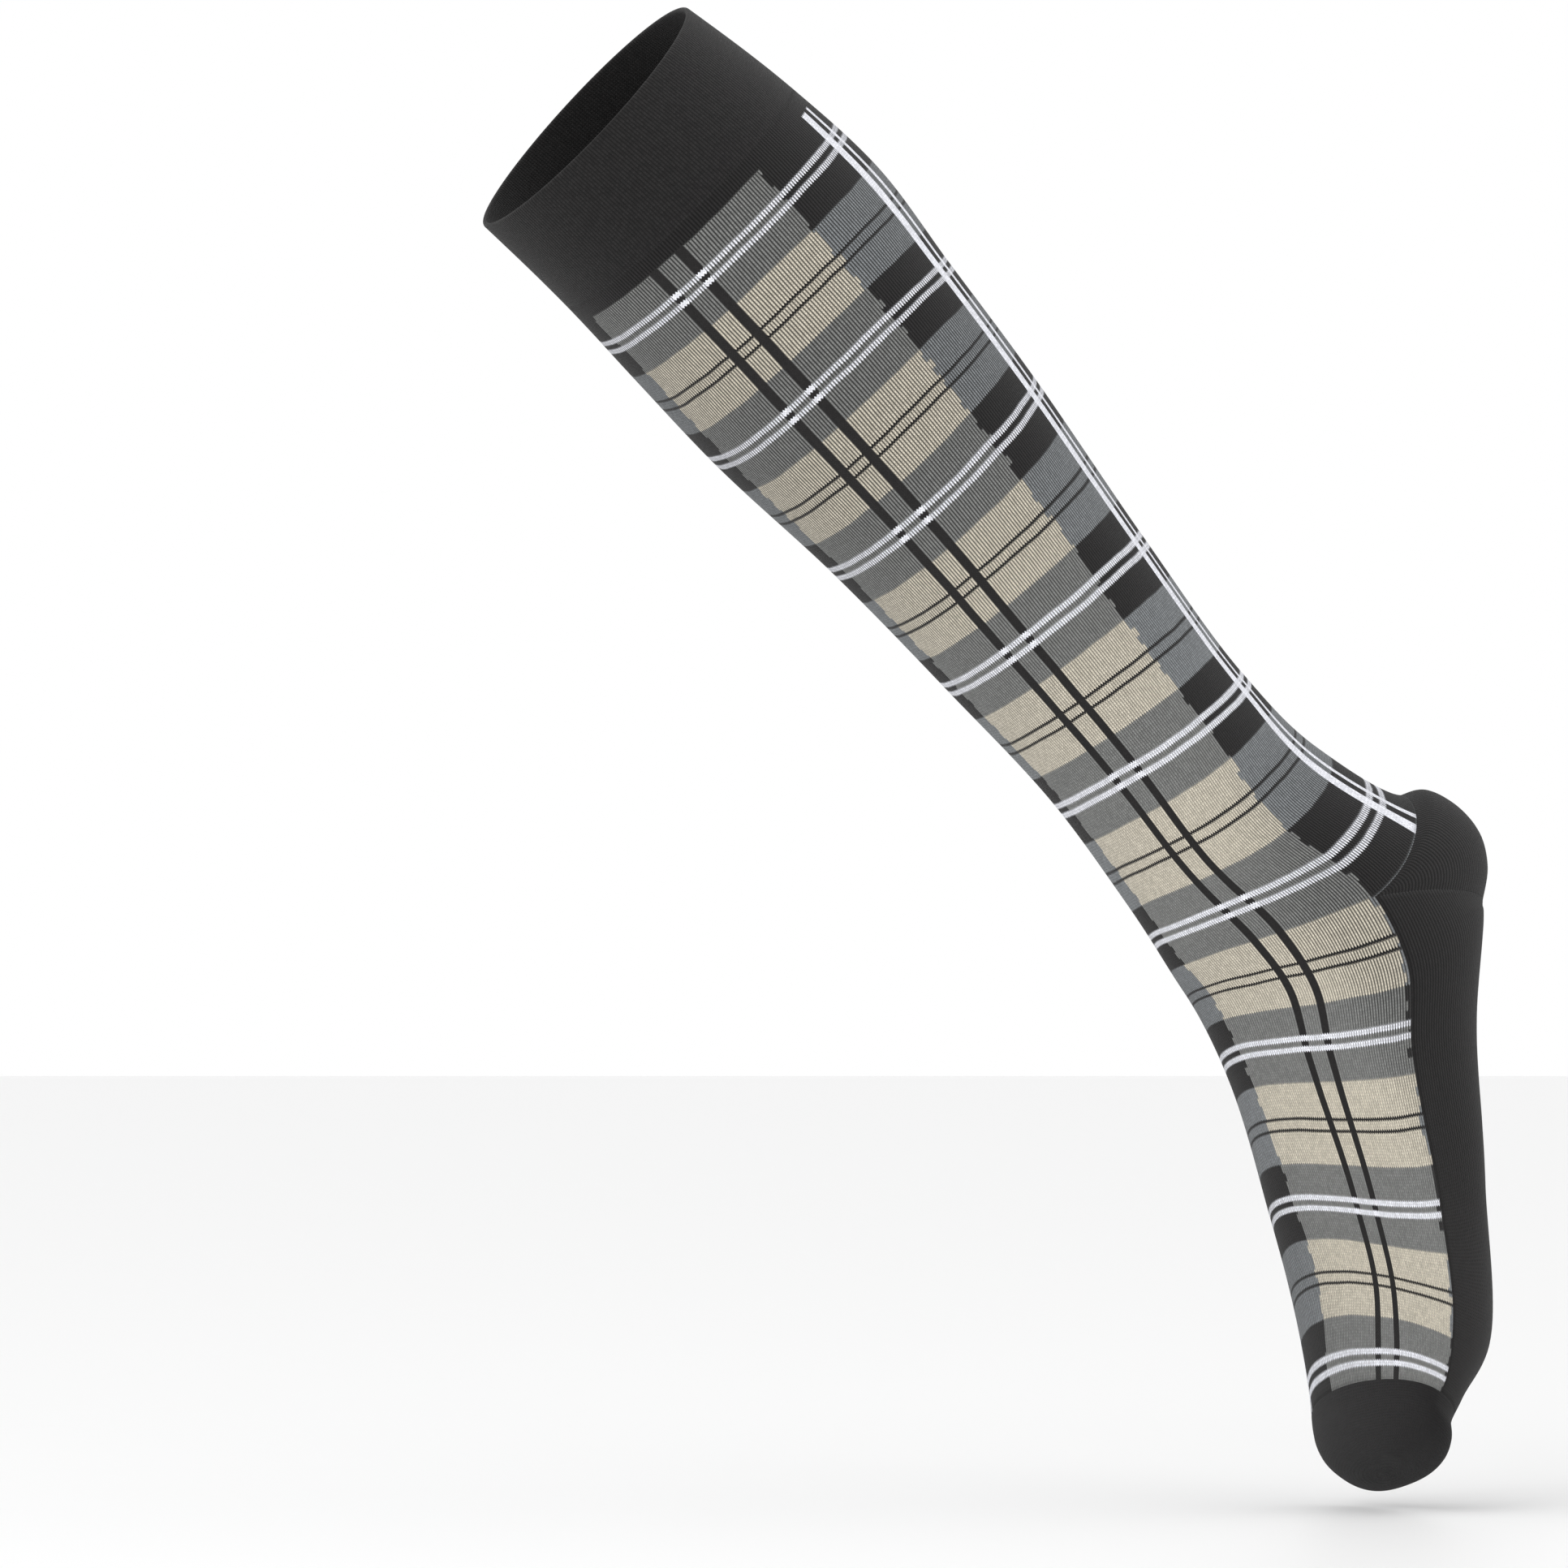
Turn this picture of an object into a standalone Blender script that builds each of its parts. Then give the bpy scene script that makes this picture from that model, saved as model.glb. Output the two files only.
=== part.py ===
"""Knee sock in its worn shape, striding on tiptoe. Metres, +Z up, +Y away from the viewer.

The origin is the centre of the cuff opening, where the leg goes in. The sock is one bent tube, so one
surface function places every point of it from three numbers: the row (how far down the sock), the
angle round the tube and, under the ankle, the share of the way round the heel. Each piece is a thick
sheet cut from that surface, with a fine gap to the next piece. The plaid tube is cut into leg, ankle and
instep.
"""

import math

import bmesh
import bpy
import numpy as np

# Named sizes, in metres
LEG_LENGTH = 0.396
CALF_DEPTH = 0.118
CALF_WIDTH = 0.107
FOOT_LENGTH = 0.250
FOOT_HEIGHT = 0.072
FOOT_WIDTH = 0.088
CUFF_WALL = 0.0020
LEG_WALL = 0.0013
FOOT_WALL = 0.0016
GAP = 0.0003
GORE_TIP = 0.0010

# Pose, in degrees: the leg tilts from upright, leans towards the viewer and turns its shin to them
LEG_TILT = 48.0
LEG_LEAN = 12.5
LEG_TURN = 29.7
FOOT_BEND = 57.0

# Rows are counted in plaid repeats below the first white line
CUFF_EDGE_ROW = -1.16
WELT_ROW = -0.37
SHIN_ROW = 2.50
ANKLE_ROW = 5.25
TOE_ROW = 8.13
TIP_ROW = 8.72
HEEL_SPAN = 1.1

# Outline of the leg seen square from its side. Columns: row; front, back and side line, each as the
# share of LEG_LENGTH down the leg and the share of CALF_DEPTH forward; half width as a share of CALF_WIDTH
LEG_ROWS = (
    (-1.16, -0.003, 0.459, 0.003, -0.452, 0.001, 0.001, 0.481),
    (-0.36, 0.102, 0.473, 0.126, -0.495, 0.113, -0.012, 0.492),
    (0.30, 0.194, 0.498, 0.234, -0.500, 0.208, 0.021, 0.498),
    (1.00, 0.296, 0.526, 0.341, -0.412, 0.308, 0.066, 0.503),
    (2.00, 0.444, 0.538, 0.470, -0.321, 0.456, 0.125, 0.455),
    (3.00, 0.590, 0.583, 0.640, -0.173, 0.612, 0.211, 0.400),
    (4.00, 0.739, 0.640, 0.793, -0.062, 0.771, 0.302, 0.355),
    (4.65, 0.833, 0.720, 0.887, -0.058, 0.874, 0.370, 0.345),
    (5.25, 0.907, 0.812, 0.985, -0.147, 0.994, 0.357, 0.357),
)

# Outline of the foot from the ankle's side point. Columns: row; front, back and side line, each as the
# share of FOOT_LENGTH along the foot and the share of FOOT_HEIGHT up; half width as a share of FOOT_WIDTH
FOOT_ROWS = (
    (5.60, 0.155, 0.658, -0.045, -0.875, 0.084, -0.181, 0.436),
    (6.10, 0.243, 0.462, 0.107, -0.817, 0.213, -0.234, 0.419),
    (7.00, 0.436, 0.203, 0.358, -0.827, 0.446, -0.411, 0.418),
    (7.60, 0.561, 0.014, 0.625, -0.838, 0.603, -0.455, 0.461),
    (8.00, 0.655, -0.102, 0.726, -0.617, 0.693, -0.416, 0.470),
    (8.20, 0.704, -0.169, 0.770, -0.563, 0.732, -0.379, 0.460),
)

# The toe is a dome from the last foot row to this point; a higher roundness makes it blunter
TOE_TIP = (0.806, -0.411)
TOE_ROUNDNESS = 2.5
TOE_RINGS = 5

# Back line round the heel. Columns: share of the way round; share of FOOT_LENGTH along; of FOOT_HEIGHT up
HEEL_ROWS = (
    (0.20, -0.223, -0.560),
    (0.40, -0.206, -0.742),
    (0.60, -0.169, -0.879),
    (0.80, -0.117, -0.928),
    (1.00, -0.062, -0.898),
)

# The sole is a little squarer than an oval; this comes in over so many rows below the ankle
SOLE_SQUARENESS = 0.07
SQUARE_AFTER = 1.5

# Step for slopes, in rows or radians, and the distance in metres under which two points are one
FINE = 1e-4
SAME_POINT = 1e-6

# Mesh steps
COLUMNS_PER_HALF = 20
CUFF_STEPS = 5
LEG_STEPS = 14
ANKLE_STEPS = 14
INSTEP_STEPS = 15
HEEL_STEPS = 10
TOE_STEPS = 9

BLACK = (0.0095, 0.0090, 0.0090, 1.0)
DEEP_BLACK = (0.0080, 0.0075, 0.0078, 1.0)
PLAID_GREY = (0.1350, 0.1320, 0.1250, 1.0)
CLOTH_ROUGHNESS = 0.9
SHARP_ANGLE = 40.0


def limb_axes():
    """Unit directions down the leg, forward to the shin, and out to the side that faces the viewer."""
    tilt, lean, turn = (math.radians(a) for a in (LEG_TILT, LEG_LEAN, LEG_TURN))
    down = np.array([math.sin(tilt) * math.cos(lean), math.sin(lean), -math.cos(tilt) * math.cos(lean)])
    forward = np.array([-math.cos(tilt), 0.0, -math.sin(tilt)])
    side = np.cross(forward, down)
    shin = math.cos(turn) * forward + math.sin(turn) * side
    flank = math.cos(turn) * side - math.sin(turn) * forward
    return down, shin, flank


DOWN, SHIN, FLANK = limb_axes()
ANKLE = np.array([LEG_ROWS[-1][5] * LEG_LENGTH, LEG_ROWS[-1][6] * CALF_DEPTH])


def foot_point(along, up):
    """A foot outline point as distances down and forward of the leg."""
    bend = math.radians(FOOT_BEND)
    toward_toe = np.array([math.cos(bend), math.sin(bend)])
    toward_instep = np.array([-math.sin(bend), math.cos(bend)])
    return ANKLE + along * FOOT_LENGTH * toward_toe + up * FOOT_HEIGHT * toward_instep


def read_tables():
    """The knots of the front, back and side lines, of the half width and of how far a row sags between
    its side and front points, with the back line's own rows."""
    leg = np.array(LEG_ROWS)
    scale = np.array([LEG_LENGTH, CALF_DEPTH])
    rows = list(leg[:, 0])
    front, back, side = (list(leg[:, k : k + 2] * scale) for k in (1, 3, 5))
    width = list(leg[:, 7] * CALF_WIDTH)
    back_rows = list(rows)
    heel_back = [foot_point(along, up) for _, along, up in HEEL_ROWS]
    heel_rows = [ANKLE_ROW + HEEL_SPAN * share for share, _, _ in HEEL_ROWS]
    back += heel_back
    back_rows += heel_rows
    for row, front_along, front_up, back_along, back_up, side_along, side_up, half in FOOT_ROWS:
        rows.append(row)
        back_rows.append(row + HEEL_SPAN)
        front.append(foot_point(front_along, front_up))
        back.append(foot_point(back_along, back_up))
        side.append(foot_point(side_along, side_up))
        width.append(half * FOOT_WIDTH)
    tip = foot_point(*TOE_TIP)
    middle = (front[-1] + back[-1]) / 2.0
    lines = (front, back, side)
    starts = [line[-1] - middle for line in lines]
    last_row, last_width = rows[-1], width[-1]
    for ring in range(1, TOE_RINGS + 1):
        share = ring / TOE_RINGS
        forward = math.sin(0.5 * math.pi * share)
        size = max(1.0 - forward**TOE_ROUNDNESS, 0.0) ** (1.0 / TOE_ROUNDNESS)
        rows.append(last_row + (TIP_ROW - last_row) * share)
        back_rows.append(rows[-1] + HEEL_SPAN)
        for line, start in zip(lines, starts):
            line.append(middle + (tip - middle) * forward + start * size)
        width.append(last_width * size)
    ankle = len(LEG_ROWS) - 1
    facing = back[:ankle] + [(back[ankle] + heel_back[-1]) / 2.0] + back[ankle + 1 + len(HEEL_ROWS) :]
    sag = [(f + b) / 2.0 - s for f, b, s in zip(front, facing, side)]
    return [np.array(column) for column in (rows, front, side, width, sag, back_rows, back)]


ROWS, FRONT, SIDE, HALF_WIDTH, FRONT_SAG, BACK_ROWS, BACK = read_tables()


def spline(knots, values, at):
    """Smooth curve through the values at the knots, which runs straight out at both ends."""
    flat = values.ndim == 1
    values = values[:, None] if flat else values
    step = np.diff(knots)
    slope = np.diff(values, axis=0) / step[:, None]
    tangent = np.empty_like(values)
    inner = slope[:-1] * step[1:, None] + slope[1:] * step[:-1, None]
    tangent[1:-1] = inner / (step[1:] + step[:-1])[:, None]
    tangent[0] = 1.5 * slope[0] - 0.5 * tangent[1]
    tangent[-1] = 1.5 * slope[-1] - 0.5 * tangent[-2]
    i = np.clip(np.searchsorted(knots, at, side="right") - 1, 0, len(knots) - 2)
    width = step[i][:, None]
    t = ((at - knots[i]) / step[i])[:, None]
    out = (2 * t**3 - 3 * t**2 + 1) * values[i] + (t**3 - 2 * t**2 + t) * width * tangent[i]
    out += (3 * t**2 - 2 * t**3) * values[i + 1] + (t**3 - t**2) * width * tangent[i + 1]
    return out[:, 0] if flat else out


def surface(row, angle, heel):
    """Points of the outer face. The angle is 0 at the back, 90 degrees at the near side, 180 at the front."""
    row, angle, heel = (np.asarray(a, dtype=float) for a in np.broadcast_arrays(row, angle, heel))
    shape = row.shape
    row, angle, heel = row.ravel(), angle.ravel(), heel.ravel()
    front = spline(ROWS, FRONT, row)
    side = spline(ROWS, SIDE, row)
    back = spline(BACK_ROWS, BACK, row + HEEL_SPAN * heel)
    half = spline(ROWS, HALF_WIDTH, row)
    on_sole = np.clip((row - ANKLE_ROW) / SQUARE_AFTER, 0.0, 1.0) * (np.cos(angle) > 0.0)
    squarer = 1.0 + SOLE_SQUARENESS * on_sole**2 * (3.0 - 2.0 * on_sole) * np.sin(2.0 * angle) ** 2
    deep = (np.cos(angle) * squarer)[:, None]
    wide = (np.sin(angle) * squarer)[:, None]
    end = np.where(deep >= 0.0, back, front)
    reach = np.abs(deep)
    sag = np.where(deep >= 0.0, (front + back) / 2.0 - side, spline(ROWS, FRONT_SAG, row))
    outline = side + (end - side) * reach + (reach**2 - reach) * sag
    points = outline[:, :1] * DOWN + outline[:, 1:] * SHIN + (half[:, None] * wide) * FLANK
    return points.reshape(shape + (3,))


def across(row, angle, heel, low, high, along_heel):
    """The change of the surface for one row, or for the whole heel, kept inside the piece's own limits."""
    if along_heel:
        before, after = np.clip(heel - FINE, low, high), np.clip(heel + FINE, low, high)
        change = surface(row, angle, after) - surface(row, angle, before)
    else:
        before, after = np.clip(row - FINE, low, high), np.clip(row + FINE, low, high)
        change = surface(after, angle, heel) - surface(before, angle, heel)
    return change / (after - before)[..., None]


def around(row, angle, heel):
    """The change of the surface for one radian round the tube."""
    after, before = surface(row, angle + FINE, heel), surface(row, angle - FINE, heel)
    return (after - before) / (2.0 * FINE)


def length_of(vectors):
    return np.linalg.norm(vectors, axis=-1)


def outward(row, angle, heel, low, high, along_heel):
    """Unit direction out of the cloth."""
    normal = np.cross(around(row, angle, heel), across(row, angle, heel, low, high, along_heel))
    return normal / length_of(normal)[..., None]


def material(name, colour):
    made = bpy.data.materials.new(name)
    made.use_nodes = True
    shader = made.node_tree.nodes["Principled BSDF"]
    shader.inputs["Base Color"].default_value = colour
    shader.inputs["Roughness"].default_value = CLOTH_ROUGHNESS
    shader.inputs["Metallic"].default_value = 0.0
    made.diffuse_color = colour
    return made


def thick_sheet(name, outer, inner, used, colour):
    """One closed solid from two grids of points. Columns run round the tube; the used cells are kept."""
    rows, columns = outer.shape[:2]
    closed = used.shape[1] == columns
    corner = {}
    points = []
    faces = []

    def index(layer, i, j):
        key = (layer, i, j % columns)
        if key not in corner:
            corner[key] = len(points)
            points.append((outer, inner)[layer][i, j % columns])
        return corner[key]

    def is_used(i, j):
        if not 0 <= i < used.shape[0]:
            return False
        if closed:
            return bool(used[i, j % columns])
        return 0 <= j < used.shape[1] and bool(used[i, j])

    for i in range(used.shape[0]):
        for j in range(used.shape[1]):
            if not used[i, j]:
                continue
            cell = ((i, j), (i, j + 1), (i + 1, j + 1), (i + 1, j))
            faces.append([index(0, *c) for c in cell])
            faces.append([index(1, *c) for c in reversed(cell)])
            beyond = ((i - 1, j), (i, j + 1), (i + 1, j), (i, j - 1))
            for k, neighbour in enumerate(beyond):
                if not is_used(*neighbour):
                    a, b = cell[k], cell[(k + 1) % 4]
                    faces.append([index(0, *b), index(0, *a), index(1, *a), index(1, *b)])

    mesh = bpy.data.meshes.new(name)
    mesh.from_pydata([tuple(p) for p in points], [], faces)
    solid = bpy.data.objects.new(name, mesh)
    bpy.context.scene.collection.objects.link(solid)
    mesh.materials.append(material(name + "_cloth", colour))
    tidy(mesh)
    return solid


def tidy(mesh):
    """Joins the points that meet at the toe's tip, turns every face outward, and shades round faces smooth."""
    work = bmesh.new()
    work.from_mesh(mesh)
    bmesh.ops.remove_doubles(work, verts=work.verts, dist=SAME_POINT)
    bmesh.ops.recalc_face_normals(work, faces=work.faces)
    work.to_mesh(mesh)
    work.free()
    mesh.shade_smooth()
    mesh.set_sharp_from_angle(angle=math.radians(SHARP_ANGLE))


def ring_angles(count):
    """Angles of the whole ring, from the near side line round by the front."""
    return math.radians(90.0) + np.linspace(0.0, 2.0 * math.pi, count, endpoint=False)


def build_cuff():
    angle = ring_angles(2 * COLUMNS_PER_HALF)[None, :]
    row = np.linspace(CUFF_EDGE_ROW, WELT_ROW, CUFF_STEPS + 1)[:, None]
    row, angle = np.broadcast_arrays(row, angle)
    outer = surface(row, angle, 0.0)
    normal = outward(row, angle, 0.0, CUFF_EDGE_ROW, WELT_ROW, False)
    used = np.ones((CUFF_STEPS, row.shape[1]), dtype=bool)
    return thick_sheet("cuff", outer, outer - CUFF_WALL * normal, used, BLACK)


def build_tube(name, first_row, last_row, steps):
    """A length of the plaid tube, with its gap to the piece above at the top."""
    angle = ring_angles(2 * COLUMNS_PER_HALF)
    top = np.full(angle.shape, first_row)
    top += GAP / length_of(across(top, angle, 0.0, first_row, last_row, False))
    share = np.linspace(0.0, 1.0, steps + 1)[:, None]
    row = top + (last_row - top) * share
    angle = np.broadcast_to(angle, row.shape)
    outer = surface(row, angle, 0.0)
    normal = outward(row, angle, 0.0, first_row, last_row, False)
    used = np.ones((steps, 2 * COLUMNS_PER_HALF), dtype=bool)
    return thick_sheet(name, outer, outer - LEG_WALL * normal, used, PLAID_GREY)


def build_leg():
    return build_tube("leg", WELT_ROW, SHIN_ROW, LEG_STEPS)


def build_ankle():
    return build_tube("ankle", SHIN_ROW, ANKLE_ROW, ANKLE_STEPS)


def build_instep():
    """The plaid tongue over the foot, from the ankle to the toe and from one side line to the other."""
    angle = math.radians(90.0) + np.linspace(0.0, math.pi, COLUMNS_PER_HALF + 1)
    top = np.full(angle.shape, ANKLE_ROW)
    top += GAP / length_of(across(top, angle, 0.0, ANKLE_ROW, TOE_ROW, False))
    share = np.linspace(0.0, 1.0, INSTEP_STEPS + 1)[:, None]
    row = top + (TOE_ROW - top) * share
    angle = np.broadcast_to(angle, row.shape)
    outer = surface(row, angle, 0.0)
    normal = outward(row, angle, 0.0, ANKLE_ROW, TOE_ROW, False)
    used = np.ones((INSTEP_STEPS, COLUMNS_PER_HALF), dtype=bool)
    return thick_sheet("instep", outer, outer - LEG_WALL * normal, used, PLAID_GREY)


def back_half_angles(clear):
    """Angles of the back half, from the far side line to the near one, clear of both."""
    return np.linspace(-math.radians(90.0) + clear, math.radians(90.0) - clear, COLUMNS_PER_HALF + 1)


def build_heel():
    """The pocket round the heel: its rows fan out from the two side points of the ankle."""
    ankle = np.array([ANKLE_ROW])
    reach = length_of(around(ankle, np.array([math.radians(90.0)]), 0.5))[0]
    angle = back_half_angles(GORE_TIP / reach)
    limits = (ankle[0], angle)
    first = GAP / length_of(across(*limits, np.zeros(angle.shape), 0.0, 1.0, True))
    last = 1.0 - GAP / length_of(across(*limits, np.ones(angle.shape), 0.0, 1.0, True))
    share = np.linspace(0.0, 1.0, HEEL_STEPS + 1)[:, None]
    heel = first + (last - first) * share
    angle = np.broadcast_to(angle, heel.shape)
    outer = surface(ANKLE_ROW, angle, heel)
    normal = outward(ANKLE_ROW, angle, heel, 0.0, 1.0, True)
    used = np.ones((HEEL_STEPS, COLUMNS_PER_HALF), dtype=bool)
    return thick_sheet("heel", outer, outer - FOOT_WALL * normal, used, BLACK)


def build_sole():
    """The strip under the foot, from the heel pocket to the toe, between the instep's two edges."""
    share = np.linspace(0.0, 1.0, INSTEP_STEPS + 1)[:, None]
    row = ANKLE_ROW + (TOE_ROW - ANKLE_ROW) * share
    side = math.radians(90.0) + 0.0 * row
    clear = GAP / length_of(around(row, side, 1.0))
    across_share = np.linspace(-1.0, 1.0, COLUMNS_PER_HALF + 1)[None, :]
    angle = across_share * (math.radians(90.0) - clear)
    row = np.broadcast_to(row, angle.shape).copy()
    row[0] += GAP / length_of(across(row[0], angle[0], 1.0, ANKLE_ROW, TOE_ROW, False))
    outer = surface(row, angle, 1.0)
    normal = outward(row, angle, 1.0, ANKLE_ROW, TOE_ROW, False)
    used = np.ones((INSTEP_STEPS, COLUMNS_PER_HALF), dtype=bool)
    return thick_sheet("sole", outer, outer - FOOT_WALL * normal, used, BLACK)


def build_toe():
    """The cap that closes the tube over the toes."""
    angle = ring_angles(2 * COLUMNS_PER_HALF)
    start = np.full(angle.shape, TOE_ROW)
    start += GAP / length_of(across(start, angle, 1.0, TOE_ROW, TIP_ROW, False))
    share = np.linspace(0.0, 1.0, TOE_STEPS + 1)[:, None]
    row = start + (TIP_ROW - start) * share
    angle = np.broadcast_to(angle, row.shape)
    outer = surface(row, angle, 1.0)
    normal = outward(row[:-1], angle[:-1], 1.0, TOE_ROW, TIP_ROW, False)
    inner = outer.copy()
    inner[:-1] -= FOOT_WALL * normal
    beyond = outer[-1, 0] - outer[-2].mean(axis=0)
    inner[-1] -= FOOT_WALL * beyond / length_of(beyond)
    used = np.ones((TOE_STEPS, row.shape[1]), dtype=bool)
    return thick_sheet("toe", outer, inner, used, DEEP_BLACK)


def main():
    for old in list(bpy.data.objects):
        bpy.data.objects.remove(old, do_unlink=True)
    build_cuff()
    build_leg()
    build_ankle()
    build_instep()
    build_heel()
    build_sole()
    build_toe()


main()
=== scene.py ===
"""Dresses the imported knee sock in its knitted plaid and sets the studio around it."""

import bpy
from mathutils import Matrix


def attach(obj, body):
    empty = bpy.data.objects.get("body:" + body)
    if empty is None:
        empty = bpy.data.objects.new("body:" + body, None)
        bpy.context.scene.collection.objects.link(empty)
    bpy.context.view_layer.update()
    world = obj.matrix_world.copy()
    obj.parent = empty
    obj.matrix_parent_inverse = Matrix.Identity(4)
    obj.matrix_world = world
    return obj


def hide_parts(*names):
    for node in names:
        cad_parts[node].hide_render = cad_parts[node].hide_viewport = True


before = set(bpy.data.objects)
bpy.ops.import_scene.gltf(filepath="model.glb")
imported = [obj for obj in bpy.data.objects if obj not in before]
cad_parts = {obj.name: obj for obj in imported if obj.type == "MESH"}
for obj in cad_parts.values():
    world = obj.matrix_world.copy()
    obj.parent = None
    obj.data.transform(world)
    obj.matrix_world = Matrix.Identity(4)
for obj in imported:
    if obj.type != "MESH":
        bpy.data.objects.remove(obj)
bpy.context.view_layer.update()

import math

import bpy
import numpy as np
from mathutils import Vector

# Sizes of the sock in metres and its pose in degrees
LEG_LENGTH, CALF_DEPTH, CALF_WIDTH = 0.396, 0.118, 0.107
FOOT_LENGTH, FOOT_HEIGHT, FOOT_WIDTH = 0.250, 0.072, 0.088
CUFF_WALL, LEG_WALL, FOOT_WALL = 0.0020, 0.0013, 0.0016
LEG_TILT, LEG_LEAN, LEG_TURN, FOOT_BEND = 48.0, 12.5, 29.7, 57.0

# Rows are counted in plaid repeats below the first white line
CUFF_EDGE_ROW, WELT_ROW, ANKLE_ROW, TOE_ROW, TIP_ROW = -1.16, -0.37, 5.25, 8.13, 8.72
HEEL_SPAN = 1.1

# Columns: row; front, back and side line as shares of leg length and calf depth; half width share
LEG_ROWS = (
    (-1.16, -0.003, 0.459, 0.003, -0.452, 0.001, 0.001, 0.481),
    (-0.36, 0.102, 0.473, 0.126, -0.495, 0.113, -0.012, 0.492),
    (0.30, 0.194, 0.498, 0.234, -0.500, 0.208, 0.021, 0.498),
    (1.00, 0.296, 0.526, 0.341, -0.412, 0.308, 0.066, 0.503),
    (2.00, 0.444, 0.538, 0.470, -0.321, 0.456, 0.125, 0.455),
    (3.00, 0.590, 0.583, 0.640, -0.173, 0.612, 0.211, 0.400),
    (4.00, 0.739, 0.640, 0.793, -0.062, 0.771, 0.302, 0.355),
    (4.65, 0.833, 0.720, 0.887, -0.058, 0.874, 0.370, 0.345),
    (5.25, 0.907, 0.812, 0.985, -0.147, 0.994, 0.357, 0.357),
)

# The same columns on the foot, as shares of foot length, height and width
FOOT_ROWS = (
    (5.60, 0.155, 0.658, -0.045, -0.875, 0.084, -0.181, 0.436),
    (6.10, 0.243, 0.462, 0.107, -0.817, 0.213, -0.234, 0.419),
    (7.00, 0.436, 0.203, 0.358, -0.827, 0.446, -0.411, 0.418),
    (7.60, 0.561, 0.014, 0.625, -0.838, 0.603, -0.455, 0.461),
    (8.00, 0.655, -0.102, 0.726, -0.617, 0.693, -0.416, 0.470),
    (8.20, 0.704, -0.169, 0.770, -0.563, 0.732, -0.379, 0.460),
)
TOE_TIP, TOE_ROUNDNESS, TOE_RINGS = (0.806, -0.411), 2.5, 5
HEEL_ROWS = (
    (0.20, -0.223, -0.560), (0.40, -0.206, -0.742), (0.60, -0.169, -0.879),
    (0.80, -0.117, -0.928), (1.00, -0.062, -0.898),
)
SOLE_SQUARENESS = 0.07
SQUARE_AFTER = 1.5

# How far the wales wind round the tube at each row, in radians at the front and back
TWIST = (
    (-1.16, 0.003), (-0.36, 0.019), (0.30, 0.0), (1.00, 0.012), (2.00, 0.047), (3.00, 0.031),
    (4.00, 0.006), (4.65, -0.07), (5.25, -0.198), (5.60, -0.259), (6.10, -0.234), (7.00, -0.317),
    (7.60, -0.23), (8.00, -0.021), (8.20, 0.098),
)

# Stitches: wales round the tube and courses in one plaid repeat
WALES, COURSES = 280, 56

# Mesh steps: columns round the whole tube, then steps along each length of it
COLUMNS, HALF_COLUMNS = 140, 70
CUFF_STEPS, RIM_STEPS, LEG_STEPS, TONGUE_STEPS, HEEL_STEPS, TOE_STEPS = 28, 8, 160, 82, 60, 48
SAME_POINT = 1e-6

# The plaid, as spans of wales round the tube and of courses in one repeat
A_COLUMNS = ((0, 75), (140, 215))
BLACK_COLUMNS = ((31, 34), (41, 44), (171, 174), (181, 184))
WHITE_COLUMNS = ((103, 106), (109, 112), (243, 246), (249, 252))
BRIGHT_ROWS = ((14, 42),)
BLACK_ROWS = ((26, 27), (30, 31))
WHITE_ROWS = ((1, 3), (53, 55))

# The plaid starts at this course, and its joins stray for so many courses at a time
PLAID_TOP = -14.0
JOIN_COURSES = 3.0

# The heel's courses meet at this share of the way round it
GORE = 0.6

# Yarns
WHITE_YARN = (0.86, 0.87, 0.93, 1.0)
BEIGE_YARN = (0.62, 0.57, 0.47, 1.0)
GREY_YARN = (0.215, 0.218, 0.212, 1.0)
COOL_GREY_YARN = (0.225, 0.238, 0.248, 1.0)
BLACK_YARN = (0.0165, 0.0155, 0.0155, 1.0)
DEEP_BLACK_YARN = (0.0130, 0.0120, 0.0125, 1.0)
# Inside of the cloth: painted shade, darker than the black yarn
INSIDE_SHADE_COLOUR = (0.003, 0.003, 0.003, 1.0)
CLOTH_SPECULAR = 0.25
SHEEN, SHEEN_ROUGHNESS = 0.08, 0.5
RELIEF, RIB_RELIEF, RELIEF_STRENGTH = 0.00025, 0.0003, 0.8

# Studio: floor, what the lamps point at, each lamp's place, size and power, and the camera
FLOOR_HEIGHT = -0.4977
FLOOR_SIZE = 12.0
FLOOR_COLOUR = (0.9, 0.9, 0.9, 1.0)
BACKDROP_COLOUR = (1.0, 1.0, 1.0, 1.0)
LOOK_AT = (0.14, 0.02, -0.22)
LIGHTS = (
    ("key", (-1.2, -2.2, 1.4), 1.6, 18.0),
    ("fill", (1.8, -2.4, 0.4), 1.8, 8.0),
)
CAMERA_PLACE = (0.0702, -4.0008, -0.2376)
CAMERA_LENS, CAMERA_SENSOR = 257.9, 36.0


def limb_axes():
    """Unit directions down the leg, forward to the shin, and out to the side that faces the viewer."""
    tilt, lean, turn = (math.radians(a) for a in (LEG_TILT, LEG_LEAN, LEG_TURN))
    down = np.array([math.sin(tilt) * math.cos(lean), math.sin(lean), -math.cos(tilt) * math.cos(lean)])
    forward = np.array([-math.cos(tilt), 0.0, -math.sin(tilt)])
    side = np.cross(forward, down)
    shin = math.cos(turn) * forward + math.sin(turn) * side
    flank = math.cos(turn) * side - math.sin(turn) * forward
    return down, shin, flank


DOWN, SHIN, FLANK = limb_axes()
ANKLE = np.array([LEG_ROWS[-1][5] * LEG_LENGTH, LEG_ROWS[-1][6] * CALF_DEPTH])


def foot_point(along, up):
    """A foot outline point as distances down and forward of the leg."""
    bend = math.radians(FOOT_BEND)
    toward_toe = np.array([math.cos(bend), math.sin(bend)])
    toward_instep = np.array([-math.sin(bend), math.cos(bend)])
    return ANKLE + along * FOOT_LENGTH * toward_toe + up * FOOT_HEIGHT * toward_instep


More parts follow.
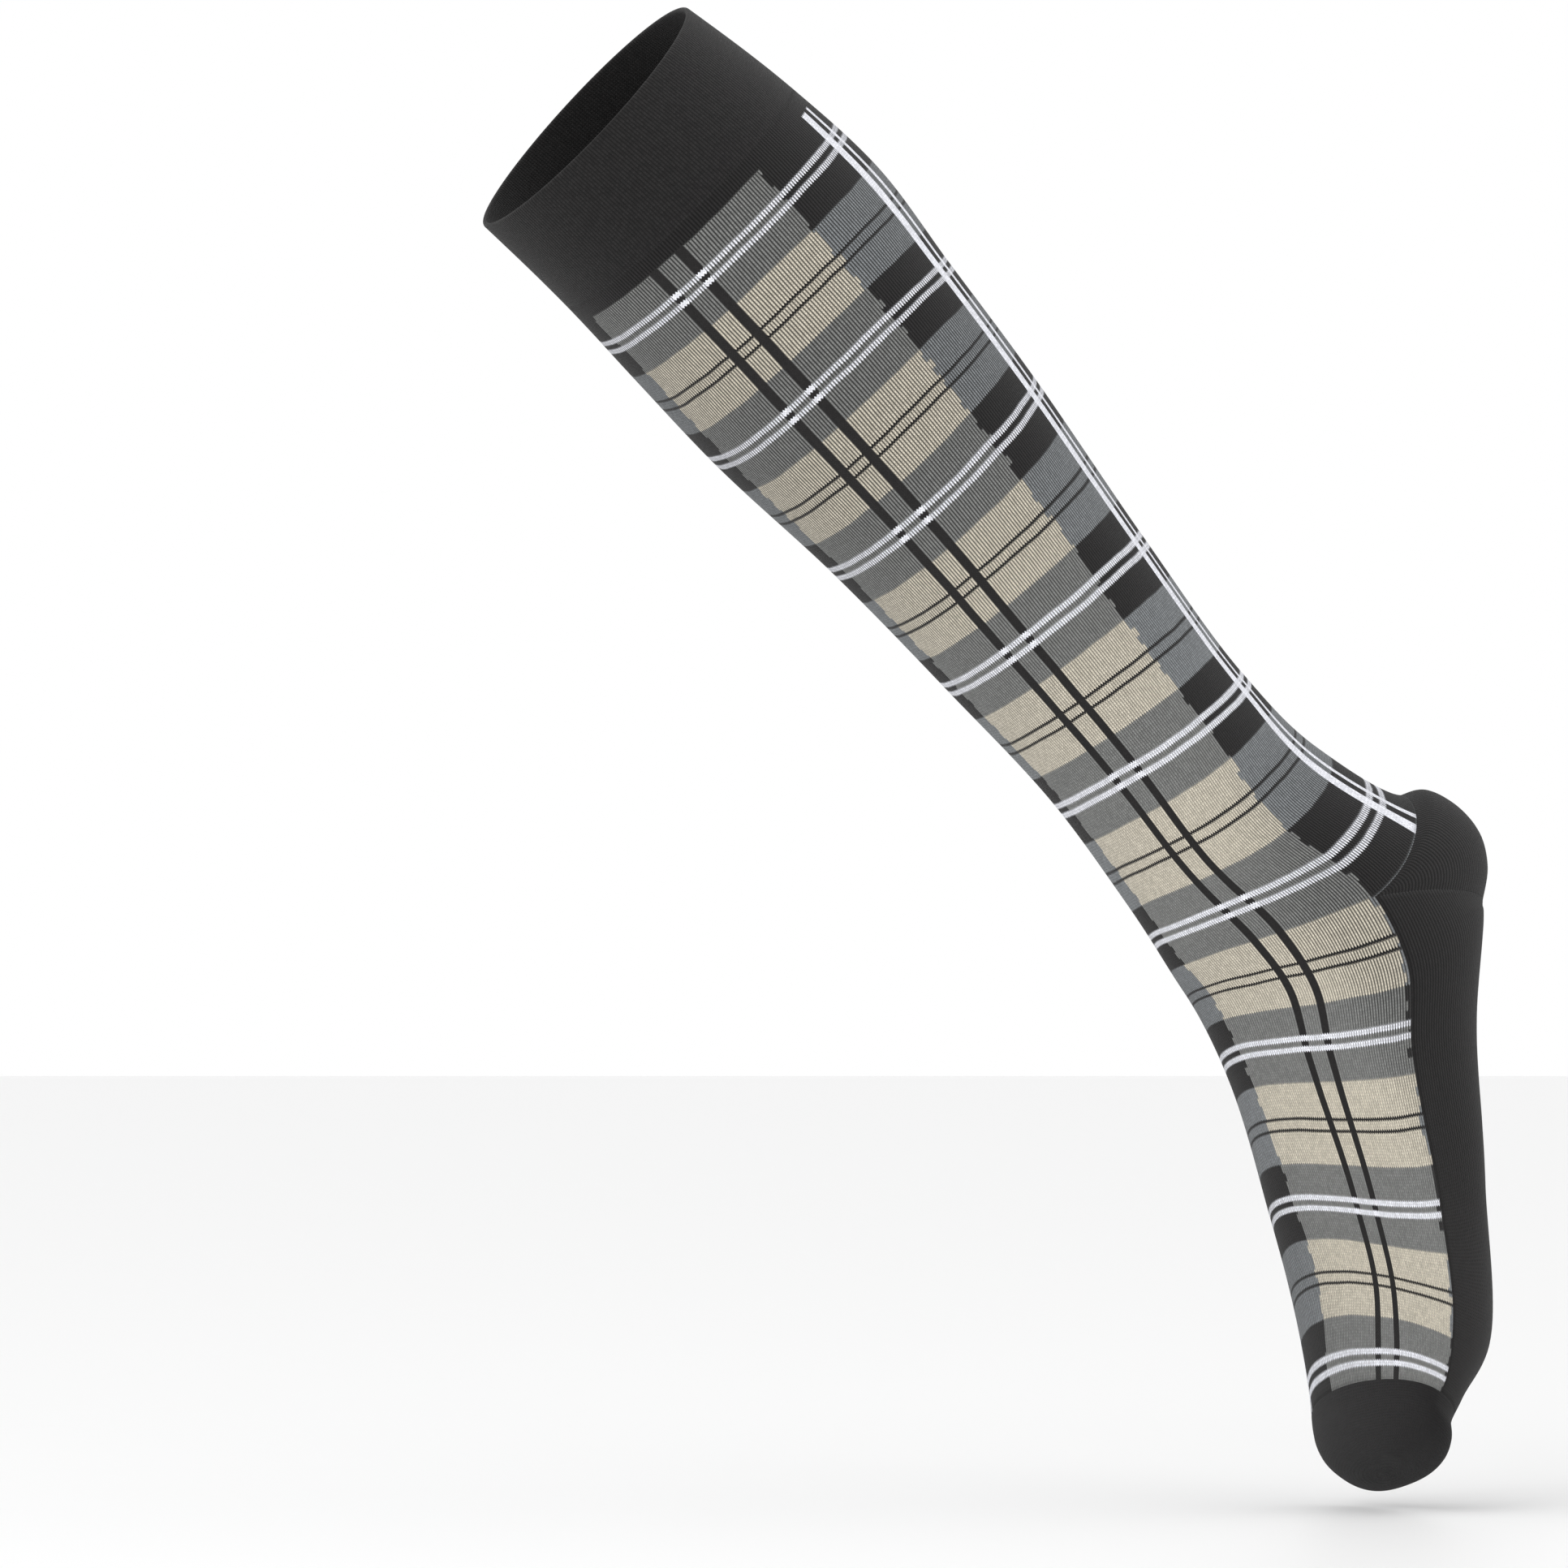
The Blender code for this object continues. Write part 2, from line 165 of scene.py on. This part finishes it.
def read_tables():
    """The same knots that the solids are built on."""
    leg = np.array(LEG_ROWS)
    scale = np.array([LEG_LENGTH, CALF_DEPTH])
    rows = list(leg[:, 0])
    front, back, side = (list(leg[:, k : k + 2] * scale) for k in (1, 3, 5))
    width = list(leg[:, 7] * CALF_WIDTH)
    heel_back = [foot_point(along, up) for _, along, up in HEEL_ROWS]
    back_rows = rows + [ANKLE_ROW + HEEL_SPAN * share for share, _, _ in HEEL_ROWS]
    back += heel_back
    for row, front_along, front_up, back_along, back_up, side_along, side_up, half in FOOT_ROWS:
        rows.append(row)
        back_rows.append(row + HEEL_SPAN)
        front.append(foot_point(front_along, front_up))
        back.append(foot_point(back_along, back_up))
        side.append(foot_point(side_along, side_up))
        width.append(half * FOOT_WIDTH)
    tip = foot_point(*TOE_TIP)
    middle = (front[-1] + back[-1]) / 2.0
    lines = (front, back, side)
    starts = [line[-1] - middle for line in lines]
    last_row, last_width = rows[-1], width[-1]
    for ring in range(1, TOE_RINGS + 1):
        share = ring / TOE_RINGS
        forward = math.sin(0.5 * math.pi * share)
        size = max(1.0 - forward**TOE_ROUNDNESS, 0.0) ** (1.0 / TOE_ROUNDNESS)
        rows.append(last_row + (TIP_ROW - last_row) * share)
        back_rows.append(rows[-1] + HEEL_SPAN)
        for line, start in zip(lines, starts):
            line.append(middle + (tip - middle) * forward + start * size)
        width.append(last_width * size)
    ankle = len(LEG_ROWS) - 1
    facing = back[:ankle] + [(back[ankle] + heel_back[-1]) / 2.0] + back[ankle + 1 + len(HEEL_ROWS) :]
    sag = [(f + b) / 2.0 - s for f, b, s in zip(front, facing, side)]
    return [np.array(column) for column in (rows, front, side, width, sag, back_rows, back)]


def spline(knots, values, at):
    """Smooth curve through the values at the knots, which runs straight out at both ends."""
    flat = values.ndim == 1
    values = values[:, None] if flat else values
    step = np.diff(knots)
    slope = np.diff(values, axis=0) / step[:, None]
    tangent = np.empty_like(values)
    inner = slope[:-1] * step[1:, None] + slope[1:] * step[:-1, None]
    tangent[1:-1] = inner / (step[1:] + step[:-1])[:, None]
    tangent[0] = 1.5 * slope[0] - 0.5 * tangent[1]
    tangent[-1] = 1.5 * slope[-1] - 0.5 * tangent[-2]
    i = np.clip(np.searchsorted(knots, at, side="right") - 1, 0, len(knots) - 2)
    width = step[i][:, None]
    t = ((at - knots[i]) / step[i])[:, None]
    out = (2 * t**3 - 3 * t**2 + 1) * values[i] + (t**3 - 2 * t**2 + t) * width * tangent[i]
    out += (3 * t**2 - 2 * t**3) * values[i + 1] + (t**3 - t**2) * width * tangent[i + 1]
    return out[:, 0] if flat else out


ROWS, FRONT, SIDE, HALF_WIDTH, FRONT_SAG, BACK_ROWS, BACK = read_tables()
TWIST_ROWS, TWIST_ANGLES = np.array(TWIST).T


def surface(row, angle, heel):
    """Points of the outer face of the solids. Angle 0 is the back, 90 degrees the near side."""
    row, angle, heel = (np.asarray(a, dtype=float) for a in np.broadcast_arrays(row, angle, heel))
    shape = row.shape
    row, angle, heel = row.ravel(), angle.ravel(), heel.ravel()
    front = spline(ROWS, FRONT, row)
    side = spline(ROWS, SIDE, row)
    back = spline(BACK_ROWS, BACK, row + HEEL_SPAN * heel)
    half = spline(ROWS, HALF_WIDTH, row)
    on_sole = np.clip((row - ANKLE_ROW) / SQUARE_AFTER, 0.0, 1.0) * (np.cos(angle) > 0.0)
    squarer = 1.0 + SOLE_SQUARENESS * on_sole**2 * (3.0 - 2.0 * on_sole) * np.sin(2.0 * angle) ** 2
    deep = (np.cos(angle) * squarer)[:, None]
    wide = (np.sin(angle) * squarer)[:, None]
    end = np.where(deep >= 0.0, back, front)
    reach = np.abs(deep)
    sag = np.where(deep >= 0.0, (front + back) / 2.0 - side, spline(ROWS, FRONT_SAG, row))
    outline = side + (end - side) * reach + (reach**2 - reach) * sag
    points = outline[:, :1] * DOWN + outline[:, 1:] * SHIN + (half[:, None] * wide) * FLANK
    return points.reshape(shape + (3,))


def wale_angle(share, row):
    """Angle round the tube of a wale, given as its share of the way round from the near side line."""
    angle = math.radians(90.0) + 2.0 * math.pi * share
    row = np.clip(row, TWIST[0][0], TWIST[-1][0])
    twist = spline(TWIST_ROWS, TWIST_ANGLES, row.ravel()).reshape(row.shape)
    return angle + twist * np.cos(angle) ** 2


def grid_piece(name, columns, rows):
    """A flat grid from -1 to 1 with its UV map, ready to be laid on the sock."""
    bpy.ops.object.select_all(action="DESELECT")
    bpy.ops.mesh.primitive_grid_add(x_subdivisions=columns, y_subdivisions=rows, size=2.0)
    piece = bpy.context.active_object
    piece.name = piece.data.name = name
    return piece


def outward(points, ring):
    """Unit normals of a grid of points; on a ring the first and last columns are the same wale."""
    if ring:
        points = np.concatenate([points[:, -2:-1], points, points[:, 1:2]], axis=1)
    normal = np.cross(np.gradient(points, axis=1), np.gradient(points, axis=0))
    normal = normal[:, 1:-1] if ring else normal
    size = np.linalg.norm(normal, axis=-1, keepdims=True)
    return normal / np.maximum(size, 1e-12)


def lay_on(piece, points, wales, courses, opening):
    """Puts the grid's points on the sock, its UV map in stitches and how far the stitches are stretched."""
    rows, columns = points.shape[0] - 1, points.shape[1] - 1
    mesh = piece.data
    flat = np.empty(len(mesh.vertices) * 3)
    mesh.vertices.foreach_get("co", flat)
    flat = flat.reshape(-1, 3)
    i = np.rint((1.0 - flat[:, 1]) / 2.0 * rows).astype(int)
    j = np.rint((flat[:, 0] + 1.0) / 2.0 * columns).astype(int)
    mesh.vertices.foreach_set("co", points[i, j].ravel())
    corner = np.empty(len(mesh.loops), dtype=int)
    mesh.loops.foreach_get("vertex_index", corner)
    stitches = np.stack([wales[i, j][corner], courses[i, j][corner]], axis=1)
    mesh.uv_layers[0].name = "stitches"
    mesh.uv_layers[0].data.foreach_set("uv", stitches.ravel())
    stretch = mesh.attributes.new("stretch", "FLOAT", "POINT")
    stretch.data.foreach_set("value", opening[i, j].ravel())
    mesh.update()
    return i, j


def wale_width(points, wales):
    """Width of one wale in millimetres all over a grid."""
    step = np.linalg.norm(np.gradient(points, axis=1), axis=-1)
    return 1000.0 * step / np.abs(np.gradient(wales, axis=1))


def edit(piece, kind, chosen, *steps):
    """Selects the given points or faces and runs edit-mode steps on them."""
    bpy.ops.object.select_all(action="DESELECT")
    piece.select_set(True)
    bpy.context.view_layer.objects.active = piece
    bpy.ops.object.mode_set(mode="EDIT")
    bpy.ops.mesh.select_mode(type="FACE" if kind == "polygons" else "VERT")
    bpy.ops.mesh.select_all(action="DESELECT")
    bpy.ops.object.mode_set(mode="OBJECT")
    getattr(piece.data, kind).foreach_set("select", chosen)
    bpy.ops.object.mode_set(mode="EDIT")
    for step in steps:
        step()
    bpy.ops.object.mode_set(mode="OBJECT")


def close_up(piece):
    """Joins the points that meet on the seam and at the toe's tip, and turns the faces outward."""
    every_point = np.ones(len(piece.data.vertices), dtype=bool)
    edit(piece, "vertices", every_point,
         lambda: bpy.ops.mesh.remove_doubles(threshold=SAME_POINT),
         lambda: bpy.ops.mesh.normals_make_consistent(inside=False))


def thicken(piece, wall):
    """Gives the cloth its thickness, inward, with the second material on the inside."""
    modifier = piece.modifiers.new("wall", "SOLIDIFY")
    modifier.thickness = wall
    modifier.offset = -1.0
    modifier.material_offset = 1
    bpy.ops.object.modifier_apply(modifier=modifier.name)


def finish_piece(piece, nodes, cloth, wall=None):
    """Closes the piece, gives it its cloth and wall, and puts it in the place of its nodes."""
    close_up(piece)
    piece.data.materials.clear()
    piece.data.materials.append(cloth)
    piece.data.materials.append(INSIDE)
    if wall:
        thicken(piece, wall)
    bpy.ops.object.shade_smooth()
    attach(piece, "root")
    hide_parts(*nodes)


class Knit:
    """A material that is worked out stitch by stitch from the UV map, in which one unit is one stitch."""

    def __init__(self, name, roughness=0.9):
        self.material = bpy.data.materials.new(name)
        self.material.use_nodes = True
        self.tree = self.material.node_tree
        self.shader = self.tree.nodes["Principled BSDF"]
        self.shader.inputs["Roughness"].default_value = roughness
        self.shader.inputs["Specular IOR Level"].default_value = CLOTH_SPECULAR

    def node(self, kind, **settings):
        """Adds a node and its settings."""
        made = self.tree.nodes.new(kind)
        for key, value in settings.items():
            setattr(made, key, value)
        return made

    def put(self, socket, given):
        """Links another node's output to the socket, or sets a plain value."""
        if isinstance(given, bpy.types.NodeSocket):
            self.tree.links.new(given, socket)
        else:
            socket.default_value = given

    def math(self, operation, *given):
        """One step of arithmetic."""
        made = self.node("ShaderNodeMath", operation=operation)
        for socket, value in zip(made.inputs, given):
            self.put(socket, value)
        return made.outputs[0]

    def fade(self, value, low, high, at_low=0.0, at_high=1.0):
        """Turns low to high into at_low to at_high, softly."""
        made = self.node("ShaderNodeMapRange", interpolation_type="SMOOTHSTEP")
        for socket, given in zip(made.inputs, (value, low, high, at_low, at_high)):
            self.put(socket, given)
        return made.outputs[0]

    def mix(self, share, first, second, blend="MIX"):
        """Blends two colours."""
        made = self.node("ShaderNodeMix", data_type="RGBA", blend_type=blend)
        self.put(made.inputs[0], share)
        self.put(made.inputs[6], first)
        self.put(made.inputs[7], second)
        return made.outputs[2]

    def bands(self, place, whole, spans):
        """1 where the place lies in one of the spans, which are counted in stitches of the whole."""
        ramp = self.node("ShaderNodeValToRGB")
        ramp.color_ramp.interpolation = "CONSTANT"
        stops = ramp.color_ramp.elements
        stops[0].color, stops[1].color = (0.0, 0.0, 0.0, 1.0), (0.0, 0.0, 0.0, 1.0)
        for start, end in spans:
            stops.new(min(max(start / whole, 0.0), 1.0)).color = (1.0, 1.0, 1.0, 1.0)
            stops.new(end / whole).color = (0.0, 0.0, 0.0, 1.0)
        self.put(ramp.inputs[0], self.math("DIVIDE", place, whole))
        return ramp.outputs[0]

    def noise(self, scale, detail=1.0):
        """Noise from -0.5 to 0.5 that runs on over every seam."""
        place = self.node("ShaderNodeTexCoord").outputs["Object"]
        made = self.node("ShaderNodeTexNoise")
        self.put(made.inputs["Vector"], place)
        made.inputs["Scale"].default_value = scale
        made.inputs["Detail"].default_value = detail
        return self.math("SUBTRACT", made.outputs["Fac"], 0.5)

    def chance(self, first, second):
        """A fixed random number from 0 to 1 for each pair of whole numbers."""
        pair = self.node("ShaderNodeCombineXYZ")
        self.put(pair.inputs[0], self.math("ADD", first, 0.5))
        self.put(pair.inputs[1], self.math("ADD", second, 0.5))
        made = self.node("ShaderNodeTexWhiteNoise", noise_dimensions="2D")
        self.put(made.inputs["Vector"], pair.outputs[0])
        return made.outputs["Value"]

    def stitches(self, slant=0.8, wander=0.5):
        """Places each point in its stitch: two legs of yarn slant up from the middle of every wale."""
        uv = self.node("ShaderNodeUVMap", uv_map="stitches")
        parts = self.node("ShaderNodeSeparateXYZ")
        self.put(parts.inputs[0], uv.outputs[0])
        self.u = self.math("MULTIPLY_ADD", self.noise(45.0), wander, parts.outputs[0])
        drift = self.math("MULTIPLY_ADD", self.noise(60.0), 2.0 * wander, parts.outputs[1])
        self.wale = self.math("FLOOR", self.u)
        middle = self.math("SUBTRACT", self.math("FRACT", self.u), 0.5)
        self.side = self.math("MULTIPLY", self.math("ABSOLUTE", middle), 2.0)
        self.v = self.math("MULTIPLY_ADD", self.side, slant, drift)
        self.course = self.math("FLOOR", self.v)
        self.along = self.math("MULTIPLY_ADD", self.math("FRACT", self.v), 2.0, -1.0)
        self.stretch = self.node("ShaderNodeAttribute", attribute_name="stretch").outputs["Fac"]

    def yarn(self, solid=0.0, narrow=0.42, wide=0.78):
        """How much of each point is covered by yarn, and how high the yarn stands there."""
        reach = self.fade(self.stretch, 0.75, 1.25, wide, narrow)
        reach = self.math("MAXIMUM", reach, self.math("MULTIPLY", solid, 0.98))
        outer = self.math("ADD", reach, 0.35)
        self.cover = self.fade(self.side, self.math("SUBTRACT", reach, 0.12), outer, 1.0, 0.0)
        hollow = self.math("POWER", self.math("ABSOLUTE", self.along), 3.0)
        self.round = self.math("SUBTRACT", 1.0, self.math("MULTIPLY", hollow, 0.75))
        rung = self.math("MULTIPLY", self.math("SUBTRACT", 1.0, self.cover), 0.35)
        height = self.math("MULTIPLY", self.math("ADD", self.cover, rung), self.round)
        self.height = self.math("MULTIPLY_ADD", solid, 0.35, height)

    def shaded(self, colour, gap_shade=0.14, uneven=0.25, fuzz=0.3):
        """The yarn's colour with painted shade in the gaps between its legs, where dark ground yarn shows
        too, and at the hollow ends of each leg; also uneven stitches and loose fibres.
        """
        # Painted shade: the colour falls off where no yarn covers the point and towards the hollow ends of
        # each stitch leg
        light = self.math("MULTIPLY", self.cover, self.fade(self.round, 0.2, 0.9, 0.55, 1.0))
        # The gaps keep only this share of the yarn's colour: painted shade, with dark ground yarn showing
        # there too
        light = self.math("MULTIPLY_ADD", light, 1.0 - gap_shade, gap_shade)
        each = self.math("MULTIPLY_ADD", self.chance(self.wale, self.course), uneven, 1.0 - uneven / 2.0)
        fibre = self.math("MULTIPLY_ADD", self.noise(2600.0, 2.0), fuzz * 2.0, 1.0)
        light = self.math("MULTIPLY", self.math("MULTIPLY", light, each), fibre)
        tone = self.node("ShaderNodeCombineColor")
        for socket in tone.inputs:
            self.put(socket, light)
        return self.mix(1.0, colour, tone.outputs[0], "MULTIPLY")

    def finish(self, colour, depth):
        """Puts the colour and the stitches' relief on the shader."""
        bump = self.node("ShaderNodeBump")
        bump.inputs["Distance"].default_value = depth
        bump.inputs["Strength"].default_value = RELIEF_STRENGTH
        self.put(bump.inputs["Height"], self.height)
        self.put(self.shader.inputs["Normal"], bump.outputs[0])
        self.put(self.shader.inputs["Base Color"], colour)
        self.shader.inputs["Sheen Weight"].default_value = SHEEN
        self.shader.inputs["Sheen Roughness"].default_value = SHEEN_ROUGHNESS
        return self.material


def plain_knit(name, colour):
    """Plain black jersey."""
    knit = Knit(name)
    knit.stitches()
    knit.yarn()
    # Its gaps keep 0.3 of the black yarn's colour as painted shade
    return knit.finish(knit.shaded(colour, gap_shade=0.3), RELIEF)


def rib_knit(name, colour):
    """Black stretch rib, looser and less even than the jersey."""
    knit = Knit(name)
    knit.stitches(slant=0.5, wander=0.6)
    knit.yarn(narrow=0.5, wide=0.6)
    # Its gaps keep 0.35 of the black yarn's colour as painted shade
    return knit.finish(knit.shaded(colour, gap_shade=0.35, uneven=0.5), RIB_RELIEF)


def plaid_knit(name):
    """The plaid: wide columns and bright rows, with the double lines over them."""
    knit = Knit(name)
    knit.stitches()
    around = knit.math("FLOORED_MODULO", knit.math("ADD", knit.wale, 0.5), float(WALES))
    repeat = knit.math("FLOORED_MODULO", knit.math("ADD", knit.course, 0.5), float(COURSES))
    stretch_of_join = knit.math("FLOOR", knit.math("DIVIDE", knit.course, JOIN_COURSES))
    join = knit.math("MULTIPLY_ADD", knit.chance(stretch_of_join, 7.0), 2.0, -1.0)
    strayed = knit.math("FLOORED_MODULO", knit.math("ADD", around, join), float(WALES))
    wide_column = knit.bands(strayed, WALES, A_COLUMNS)
    bright_row = knit.bands(repeat, COURSES, BRIGHT_ROWS)
    colour = knit.mix(wide_column, knit.mix(bright_row, BLACK_YARN, COOL_GREY_YARN),
                      knit.mix(bright_row, GREY_YARN, BEIGE_YARN))
    black_row = knit.bands(repeat, COURSES, BLACK_ROWS)
    black_column = knit.bands(around, WALES, BLACK_COLUMNS)
    white_column = knit.bands(around, WALES, WHITE_COLUMNS)
    white_row = knit.bands(repeat, COURSES, WHITE_ROWS)
    colour = knit.mix(black_row, colour, BLACK_YARN)
    colour = knit.mix(black_column, colour, BLACK_YARN)
    colour = knit.mix(white_column, colour, WHITE_YARN)
    colour = knit.mix(white_row, colour, WHITE_YARN)
    begun = knit.math("GREATER_THAN", knit.v, PLAID_TOP)
    colour = knit.mix(begun, BLACK_YARN, colour)
    solid = knit.math("MULTIPLY", knit.math("MAXIMUM", black_column, white_column), begun)
    knit.yarn(solid)
    # The plaid's colours take the painted shade of the gaps and stitch hollows
    return knit.finish(knit.shaded(colour), RELIEF)


def make_cuff():
    """The cuff's cloth goes up the outside, over the rolled rim and down the inside."""
    down = np.linspace(WELT_ROW, CUFF_EDGE_ROW, CUFF_STEPS + 1)
    share = np.linspace(0.0, 1.0, COLUMNS + 1)[None, :]
    row = down[:, None] + 0.0 * share
    outer = surface(row, wale_angle(share + 0.0 * row, row), 0.0)
    normal = -outward(outer, True)
    up = outer[-1] - outer[-2]
    up /= np.linalg.norm(up, axis=-1, keepdims=True)
    turn = np.linspace(0.0, math.pi, RIM_STEPS + 1)[1:-1]
    radius = CUFF_WALL / 2.0
    roll = np.stack([
        outer[-1] + radius * (math.sin(a) * up - (1.0 - math.cos(a)) * normal[-1]) for a in turn
    ])
    inner = (outer - CUFF_WALL * normal)[::-1]
    points = np.concatenate([outer, roll, inner, outer[:1]])
    rows = np.concatenate([down, np.full(len(turn), CUFF_EDGE_ROW), down[::-1], down[:1]])
    course = rows[:, None] * COURSES + 0.0 * share
    wales = share * WALES + 0.0 * course
    piece = grid_piece("ribbed_cuff", COLUMNS, len(points) - 1)
    lay_on(piece, points, wales, course, wale_width(points, wales))
    finish_piece(piece, ["cuff"], rib_knit("cuff_rib", BLACK_YARN))


def make_leg():
    """The plaid tube, with its tongue over the instep."""
    row = np.concatenate([np.linspace(WELT_ROW, ANKLE_ROW, LEG_STEPS + 1),
                          np.linspace(ANKLE_ROW, TOE_ROW, TONGUE_STEPS + 1)[1:]])
    share = np.linspace(0.0, 1.0, COLUMNS + 1)[None, :] + 0.0 * row[:, None]
    row = row[:, None] + 0.0 * share
    points = surface(row, wale_angle(share, row), 0.0)
    piece = grid_piece("plaid_leg", COLUMNS, LEG_STEPS + TONGUE_STEPS)
    i, j = lay_on(piece, points, share * WALES, row * COURSES, wale_width(points, share * WALES))
    corners = np.array([face.vertices[:] for face in piece.data.polygons])
    behind = (i[corners].mean(axis=1) > LEG_STEPS) & (j[corners].mean(axis=1) > HALF_COLUMNS)
    edit(piece, "polygons", behind, lambda: bpy.ops.mesh.delete(type="FACE"))
    finish_piece(piece, ["leg", "ankle", "instep"], plaid_knit("plaid_cloth"), LEG_WALL)


def make_heel():
    """The heel pocket: its courses run level with both edges and meet on the gore line."""
    heel = np.linspace(0.0, 1.0, HEEL_STEPS + 1)[:, None] + np.zeros((1, HALF_COLUMNS + 1))
    share = np.linspace(0.5, 1.0, HALF_COLUMNS + 1)[None, :] + 0.0 * heel
    row = ANKLE_ROW + 0.0 * heel
    points = surface(row, wale_angle(share, row), heel)
    length = np.linalg.norm(np.diff(points, axis=0), axis=2).sum(axis=0)[None, :] * 1000.0
    course = length * np.minimum(heel, (1.0 - heel) * GORE / (1.0 - GORE))
    piece = grid_piece("heel_pocket", HALF_COLUMNS, HEEL_STEPS)
    lay_on(piece, points, share * WALES, course, wale_width(points, share * WALES))
    finish_piece(piece, ["heel"], plain_knit("heel_cloth", BLACK_YARN), FOOT_WALL)


def make_sole():
    """The black strip under the foot, on the tube's back half."""
    row = np.linspace(ANKLE_ROW, TOE_ROW, TONGUE_STEPS + 1)[:, None] + np.zeros((1, HALF_COLUMNS + 1))
    share = np.linspace(0.5, 1.0, HALF_COLUMNS + 1)[None, :] + 0.0 * row
    points = surface(row, wale_angle(share, row), 1.0)
    piece = grid_piece("sole_strip", HALF_COLUMNS, TONGUE_STEPS)
    lay_on(piece, points, share * WALES, row * COURSES, wale_width(points, share * WALES))
    finish_piece(piece, ["sole"], plain_knit("sole_cloth", BLACK_YARN), FOOT_WALL)


def make_toe():
    """The toe's dome, down to its tip."""
    row = np.linspace(TOE_ROW, TIP_ROW, TOE_STEPS + 1)[:, None] + np.zeros((1, COLUMNS + 1))
    share = np.linspace(0.0, 1.0, COLUMNS + 1)[None, :] + 0.0 * row
    points = surface(row, wale_angle(share, row), 1.0)
    piece = grid_piece("toe_cap", COLUMNS, TOE_STEPS)
    lay_on(piece, points, share * WALES, row * COURSES, wale_width(points, share * WALES))
    finish_piece(piece, ["toe"], plain_knit("toe_cloth", DEEP_BLACK_YARN), FOOT_WALL)


def studio():
    """A pale floor, a white surround, two soft lamps and the camera at the photo's viewing angle."""
    bpy.ops.object.select_all(action="DESELECT")
    bpy.ops.mesh.primitive_plane_add(size=FLOOR_SIZE, location=(0.0, 0.0, FLOOR_HEIGHT))
    floor = bpy.context.active_object
    floor.name = "floor"
    paper = Knit("pale_floor", roughness=0.5)
    paper.shader.inputs["Base Color"].default_value = FLOOR_COLOUR
    floor.data.materials.append(paper.material)
    world = bpy.data.worlds.new("studio")
    bpy.context.scene.world = world
    world.use_nodes = True
    surround = world.node_tree.nodes["Background"]
    surround.inputs["Color"].default_value = BACKDROP_COLOUR
    surround.inputs["Strength"].default_value = 1.0
    for name, place, size, power in LIGHTS:
        lamp = bpy.data.lights.new(name, "AREA")
        lamp.size = size
        lamp.energy = power
        light = bpy.data.objects.new(name, lamp)
        bpy.context.scene.collection.objects.link(light)
        light.location = place
        aim = Vector(LOOK_AT) - Vector(place)
        light.rotation_euler = aim.to_track_quat("-Z", "Y").to_euler()
    camera_data = bpy.data.cameras.new("camera")
    camera_data.lens = CAMERA_LENS
    camera_data.sensor_width = CAMERA_SENSOR
    camera = bpy.data.objects.new("camera", camera_data)
    bpy.context.scene.collection.objects.link(camera)
    camera.location = CAMERA_PLACE
    camera.rotation_euler = (math.radians(90.0), 0.0, 0.0)
    bpy.context.scene.camera = camera
    bpy.context.scene.view_settings.view_transform = "Standard"


def inside():
    """The inner face of the cloth, near black and darker than any yarn: painted shade for the inside of the
    sock.
    """
    made = Knit("inside_shade_cloth", roughness=1.0)
    made.shader.inputs["Base Color"].default_value = INSIDE_SHADE_COLOUR
    return made.material


INSIDE = inside()
make_cuff()
make_leg()
make_heel()
make_sole()
make_toe()
studio()
